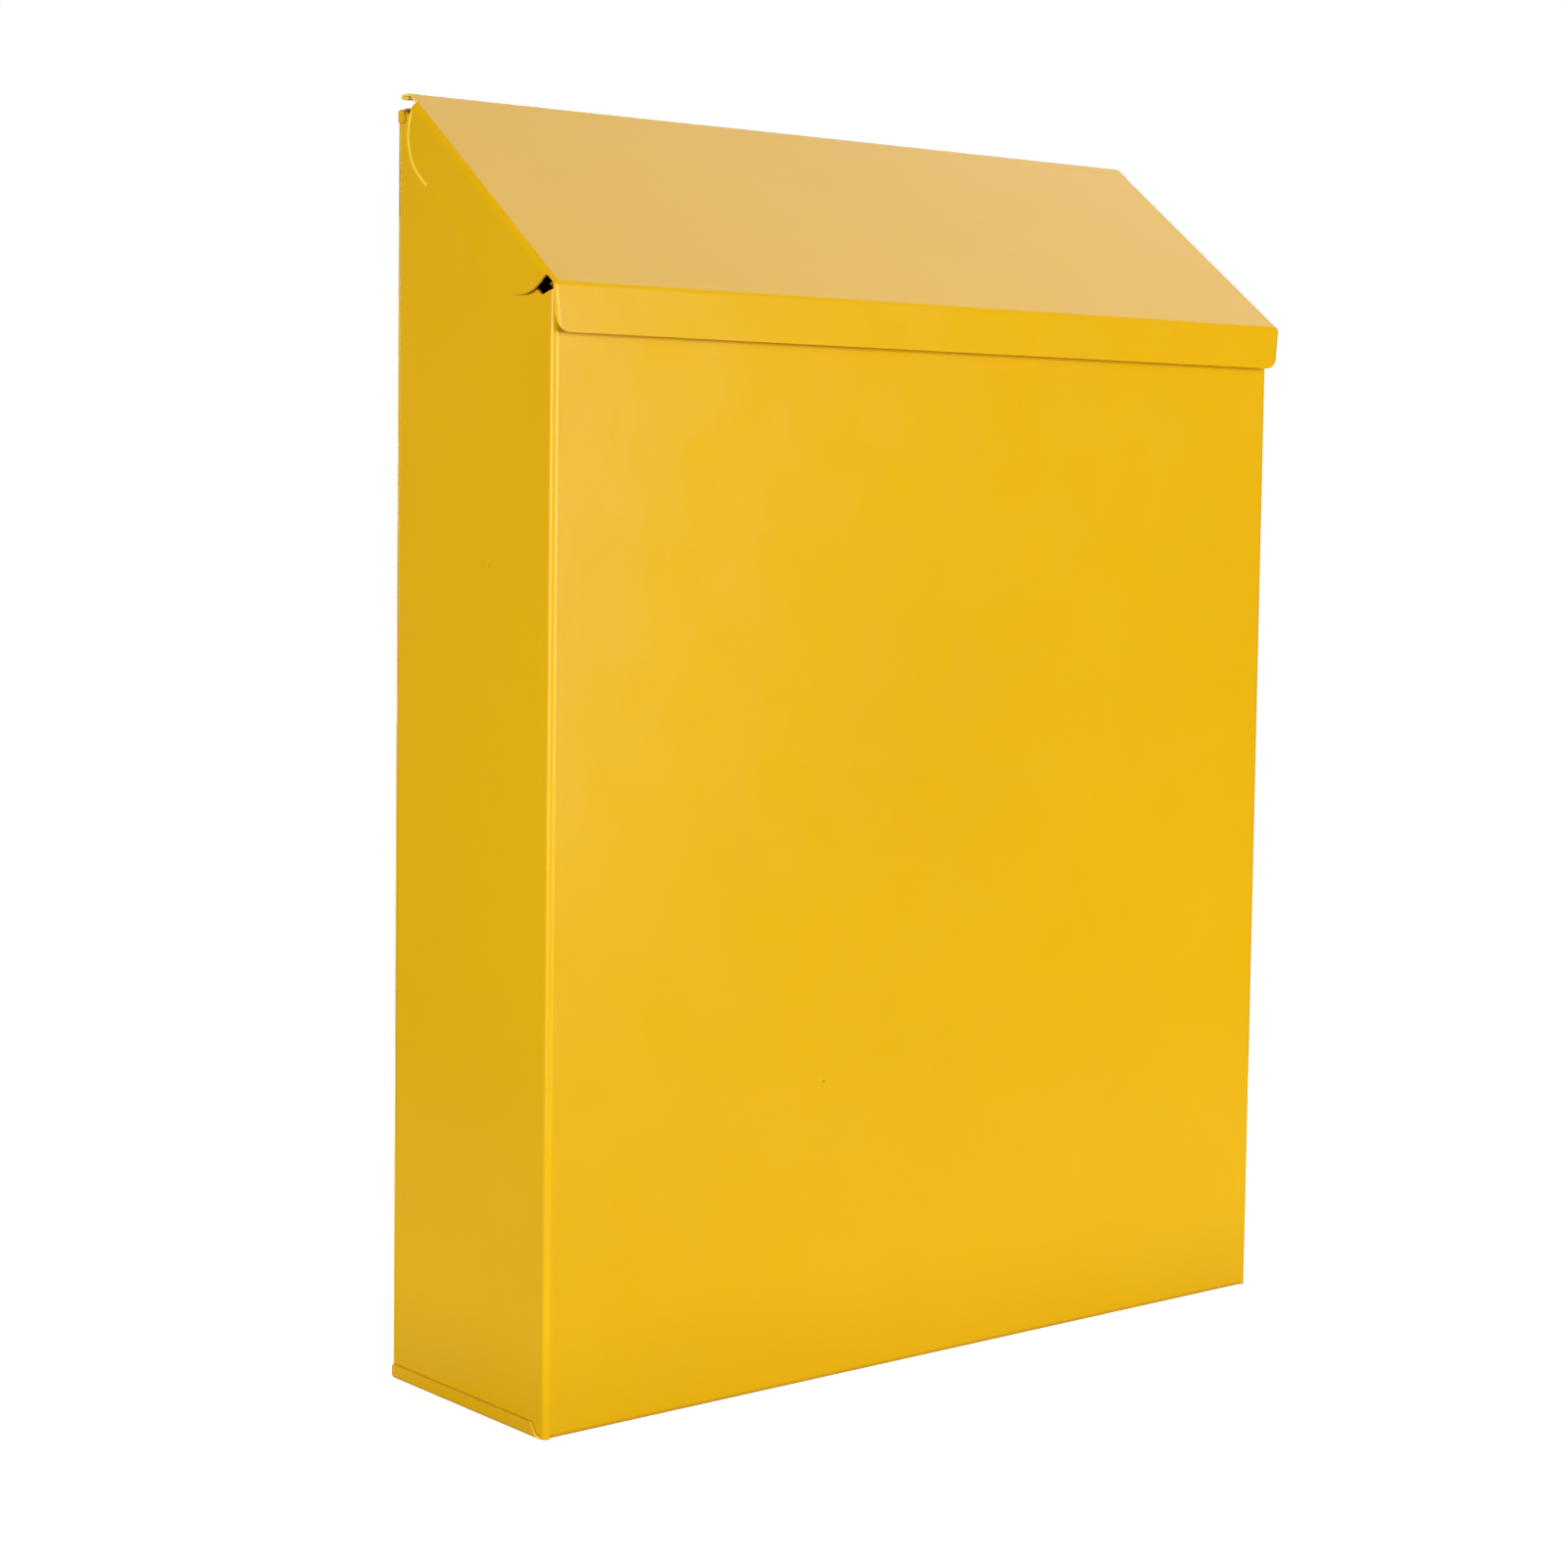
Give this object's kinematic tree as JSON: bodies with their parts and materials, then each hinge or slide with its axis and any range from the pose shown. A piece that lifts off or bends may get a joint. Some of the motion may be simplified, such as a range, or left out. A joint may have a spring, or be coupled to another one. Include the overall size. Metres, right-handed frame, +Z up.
{
  "type": "wall mailbox",
  "caption": "Slim upright wall mailbox folded from painted sheet steel, with a sloping hinged lid that lifts for letters.",
  "frame": {"origin": "middle of the footprint at the base", "axes": "+X across the width, the front faces -Y, the wall side is +Y, +Z up"},
  "size_m": [0.2334, 0.0646, 0.3],
  "materials": {
    "yellow_paint": "semi-gloss powder coat",
    "pin_steel": "zinc plated"
  },
  "bodies": {
    "box": {"front_shell": "yellow_paint", "back_panel": "yellow_paint", "left_hinge_body_leaf": "yellow_paint", "right_hinge_body_leaf": "yellow_paint", "left_hinge_pin": "pin_steel", "right_hinge_pin": "pin_steel"},
    "lid": {"lid": "yellow_paint", "left_hinge_lid_leaf": "yellow_paint", "right_hinge_lid_leaf": "yellow_paint"}
  },
  "joints": [
    {"name": "lid_hinge", "type": "hinge", "parent": "box", "child": "lid", "pos_m": [0, 0.0301, 0.2978], "axis": [-1, 0, 0], "range_deg": [0, 90]}
  ]
}
